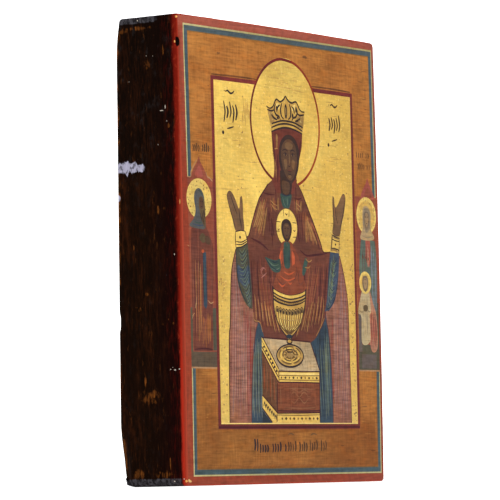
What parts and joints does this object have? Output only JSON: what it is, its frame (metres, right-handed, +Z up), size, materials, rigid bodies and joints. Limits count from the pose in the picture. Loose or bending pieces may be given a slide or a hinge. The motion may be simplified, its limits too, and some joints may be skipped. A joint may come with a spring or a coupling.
{
  "type": "icon panel",
  "caption": "Small thick wooden icon board that stands on its bottom edge, with a slightly bulged painted front, worn arrises and a bare dark back.",
  "frame": {"origin": "on the ground, at the middle of the board's bounding box", "axes": "+Z up along the board's height, the painted front faces -Y, the bare back faces +Y, +X runs across the width"},
  "size_m": [0.1434, 0.032, 0.178],
  "materials": {
    "painted_wood": "dark stained old wood; the front is a smooth painted ground with red border, ochre margin and worn gold"
  },
  "bodies": {
    "root": {"board": "painted_wood"}
  },
  "joints": []
}
